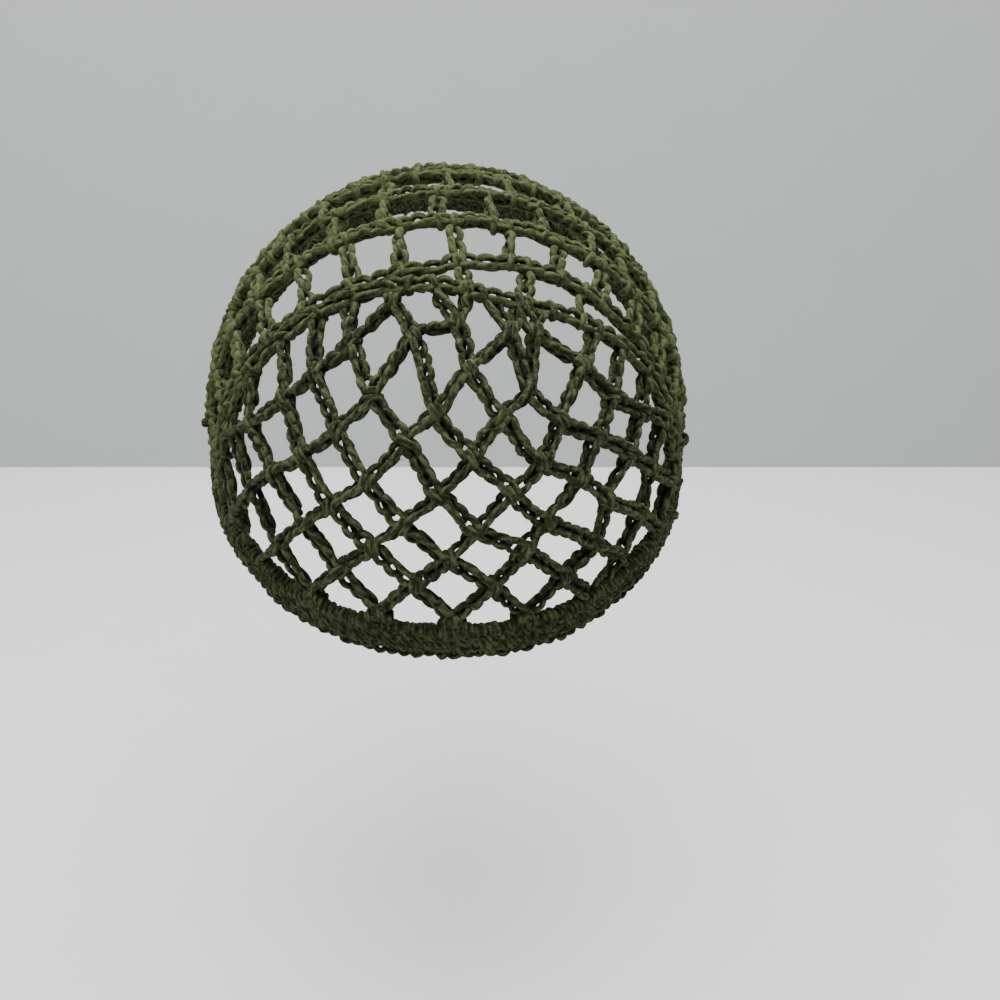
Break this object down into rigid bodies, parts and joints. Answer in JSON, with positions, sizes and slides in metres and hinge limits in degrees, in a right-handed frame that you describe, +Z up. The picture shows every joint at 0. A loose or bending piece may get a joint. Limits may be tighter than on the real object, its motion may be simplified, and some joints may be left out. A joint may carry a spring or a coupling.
{
  "type": "crochet hair snood",
  "caption": "Open crochet net cap that follows the head: a windowed crown mesh, a diamond back net and a close-stitched hem round the open underside.",
  "frame": {"origin": "inside of the crown's top, where the net rests on the top of the head", "axes": "+Z up from the head, +Y to the back of the head, +X to the wearer's left"},
  "size_m": [0.1646, 0.1615, 0.1309],
  "materials": {
    "crown_yarn": "matte olive green cotton yarn, crocheted",
    "net_yarn": "matte olive green cotton yarn, crocheted",
    "hem_yarn": "matte olive green cotton yarn, close stitches"
  },
  "bodies": {
    "root": {"crown_mesh": "crown_yarn", "back_net": "net_yarn", "hem_band": "hem_yarn"}
  },
  "joints": []
}
